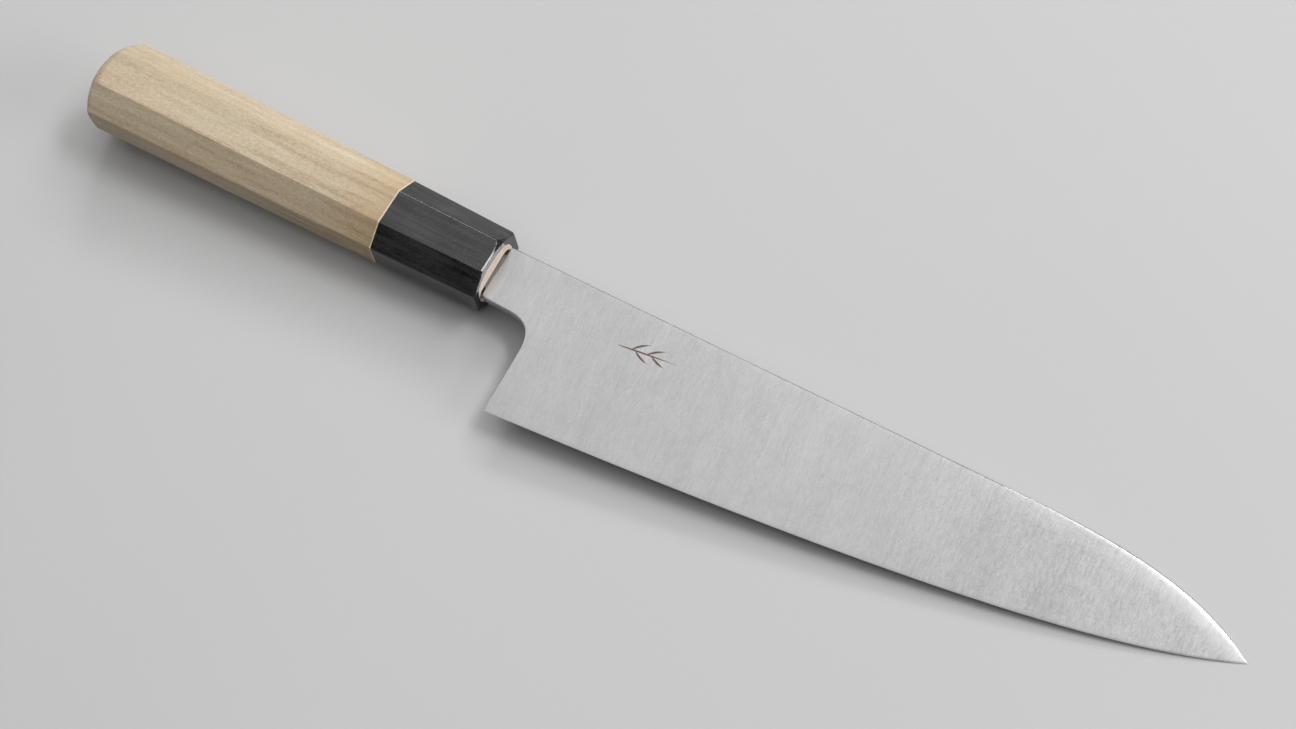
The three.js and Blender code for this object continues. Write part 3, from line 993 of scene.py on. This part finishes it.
steel = steel_material()
resin = resin_material()
blade_points, blade_faces = blade_mesh()
blade = add_piece("ground_blade", blade_points, blade_faces, steel, "blade", "blade_steel", 24.0)
blade_x, blade_y = blade_points[:, 0], blade_points[:, 1]
below_spine = np.column_stack([blade_x, spine_y(blade_x) - blade_y])
add_uv(blade.data, SPINE_UV_NAME, below_spine * MM)
add_piece("horn_ferrule", *ferrule_mesh(), horn_material(), "ferrule", "horn", 40.0)
add_piece("oval_core", *core_mesh(), core_material(), "ferrule_core", "core_wood", 40.0)
add_piece("octagon_handle", *handle_mesh(), wood_material(), "handle_body", "handle_wood", 40.0)
add_piece("tang_resin", *resin_mesh(), resin, "tang_adhesive", "resin", 40.0)
add_piece("engraved_sprig", *motif_mesh(), resin, None, "resin", 40.0)

# ------------------------------------------------------------------ studio

middle = (Vector(cad_bounds[0]) + Vector(cad_bounds[1])) / 2

FLOOR_SIZE = 6.0


def studio_floor():
    mesh = bpy.data.meshes.new("studio_floor")
    h = FLOOR_SIZE / 2
    mesh.from_pydata([(-h, -h, 0), (h, -h, 0), (h, h, 0), (-h, h, 0)], [], [(0, 1, 2, 3)])
    mesh.materials.append(floor_material())
    floor = bpy.data.objects.new("studio_floor", mesh)
    bpy.context.scene.collection.objects.link(floor)


def direction(azimuth, elevation):
    a, e = math.radians(azimuth), math.radians(elevation)
    return Vector((math.cos(e) * math.cos(a), math.cos(e) * math.sin(a), math.sin(e)))


def soft_light(name, azimuth, elevation, distance, size, radiance):
    """A softbox, with its width and height, that faces the knife. A mirror shows its radiance."""
    lamp = bpy.data.lights.new(name, "AREA")
    lamp.shape = "RECTANGLE"
    lamp.size, lamp.size_y = size
    lamp.energy = math.pi * radiance * size[0] * size[1]
    box = bpy.data.objects.new(name, lamp)
    away = direction(azimuth, elevation)
    box.location = middle + away * distance
    box.rotation_euler = away.to_track_quat("Z", "Y").to_euler()
    bpy.context.scene.collection.objects.link(box)


def sky(strength):
    world = bpy.data.worlds.new("studio")
    world.use_nodes = True
    background = world.node_tree.nodes["Background"]
    background.inputs["Color"].default_value = (1, 1, 1, 1)
    background.inputs["Strength"].default_value = strength
    bpy.context.scene.world = world


CAMERA_AZIMUTH, CAMERA_ELEVATION, CAMERA_ROLL = -43.3, 64.0, -17.98
CAMERA_DISTANCE = 0.8516
CAMERA_AIM_OFFSET = (0.00536, 0.00585, 0)  # from the middle of the knife's box
LENS, SENSOR_WIDTH = 88.2, 36.0


def camera():
    """The viewpoint: from beside the edge and the tip, high above the table, leaning a little."""
    aim = middle + Vector(CAMERA_AIM_OFFSET)
    data = bpy.data.cameras.new("camera")
    data.lens = LENS
    data.sensor_width = SENSOR_WIDTH
    data.clip_start = 0.01
    made = bpy.data.objects.new("camera", data)
    away = direction(CAMERA_AZIMUTH, CAMERA_ELEVATION)
    right = Vector((0, 0, 1)).cross(away).normalized()
    up = away.cross(right)
    turn = Matrix.Rotation(math.radians(CAMERA_ROLL), 4, "Z")
    upright = Matrix((right, up, away)).transposed().to_4x4()
    made.matrix_world = Matrix.Translation(aim + away * CAMERA_DISTANCE) @ upright @ turn
    bpy.context.scene.collection.objects.link(made)
    bpy.context.scene.camera = made


studio_floor()
sky(0.07)
soft_light("overhead", 122, 70, 1.8, (3.1, 3.1), 0.96)
soft_light("far_side", 114, 32, 2.0, (0.38, 0.46), 12.0)
soft_light("far_tip", 88, 34, 2.0, (1.0, 0.3), 7.0)
soft_light("tip_side", 43, 56, 2.0, (0.95, 0.34), 13.5)
soft_light("tip_low", 12, 23, 2.0, (0.9, 0.9), 4.9)
soft_light("spine_side", 60, 42, 2.0, (0.34, 0.3), 12.0)
soft_light("near_fill", -85, 56, 2.2, (2.2, 0.9), 0.34)
camera()
bpy.context.scene.view_settings.view_transform = "Standard"
